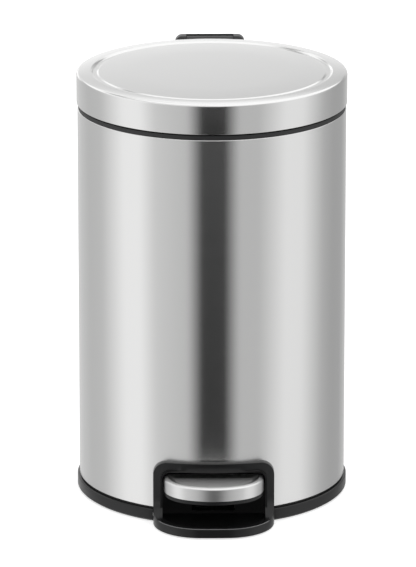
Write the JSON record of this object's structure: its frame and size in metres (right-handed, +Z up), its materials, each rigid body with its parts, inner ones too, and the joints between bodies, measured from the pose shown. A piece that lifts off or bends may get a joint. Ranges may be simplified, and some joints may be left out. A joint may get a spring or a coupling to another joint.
{
  "type": "pedal trash can",
  "caption": "Round steel pedal can: foot pedal at the base lifts a rear-hinged lid through a lever and push rod; removable inner bucket with wire bail, rear carry grip.",
  "frame": {"origin": "on the can's axis at floor level, at the centre of the anti-slip ring's underside", "axes": "+Z up, -Y towards the pedal and the user, +Y towards the hinge, +X to the right seen from the front"},
  "size_m": [0.254, 0.312, 0.403],
  "materials": {
    "brushed_steel": "stainless sheet, fine upright brushing, clear",
    "black_plastic": "moulded black, satin",
    "bucket_plastic": "moulded dark grey, satin",
    "white_acetal": "natural acetal",
    "foot_rubber": "soft black rubber",
    "plated_steel": "zinc-plated steel",
    "screw_steel": "zinc-plated screws"
  },
  "bodies": {
    "can_body": {"base_tray": "black_plastic", "foot_ring": "foot_rubber", "pedal_surround": "black_plastic", "surround_screws": "screw_steel", "outer_shell": "brushed_steel", "collar_ring": "black_plastic", "lid_bumpers": "foot_rubber", "hinge_housing": "black_plastic", "housing_screws": "screw_steel", "hinge_pin": "plated_steel", "mechanism_guard": "plated_steel", "guard_screws": "screw_steel", "rod_guides": "white_acetal", "damper_bracket": "white_acetal", "damper_cylinder": "plated_steel", "pedal_axle": "plated_steel", "axle_clips": "plated_steel"},
    "lid": {"lid_cap": "brushed_steel", "lid_liner": "bucket_plastic", "lid_arm": "plated_steel", "lid_nuts": "screw_steel", "crank_pin": "plated_steel"},
    "pedal": {"pedal_lever": "plated_steel", "axle_bushes": "white_acetal", "pedal_core": "black_plastic", "pedal_cap": "brushed_steel", "pedal_screws": "screw_steel"},
    "lift": {"push_rod": "plated_steel", "rod_yoke": "white_acetal", "rod_clip": "plated_steel", "damper_piston": "plated_steel", "damper_link": "white_acetal"},
    "bucket": {"bucket": "bucket_plastic"},
    "bail": {"bucket_bail": "plated_steel", "bail_grip": "bucket_plastic"}
  },
  "joints": [
    {"name": "lid_hinge", "type": "hinge", "parent": "can_body", "child": "lid", "pos_m": [0, 0.1335, 0.396], "axis": [-1, 0, 0], "range_deg": [0, 82]},
    {"name": "pedal_pivot", "type": "hinge", "parent": "can_body", "child": "pedal", "pos_m": [0, -0.02, 0.026], "axis": [1, 0, 0], "range_deg": [0, 9.21]},
    {"name": "rod_lift", "type": "slide", "parent": "can_body", "child": "lift", "axis": [0, 0, 1], "range_m": [0, 0.0219]},
    {"name": "bucket_lift", "type": "slide", "parent": "can_body", "child": "bucket", "axis": [0, 0, 1], "range_m": [0, 0.005]},
    {"name": "bail_hinge", "type": "hinge", "parent": "bucket", "child": "bail", "pos_m": [0, 0, 0.3739], "axis": [-1, 0, 0], "range_deg": [0, 8]}
  ],
  "couplings": [
    {"joint": "pedal_pivot", "follows": "lid_hinge", "ratio": 0.1122},
    {"joint": "rod_lift", "follows": "lid_hinge", "m_per_rad": 0.015287}
  ]
}
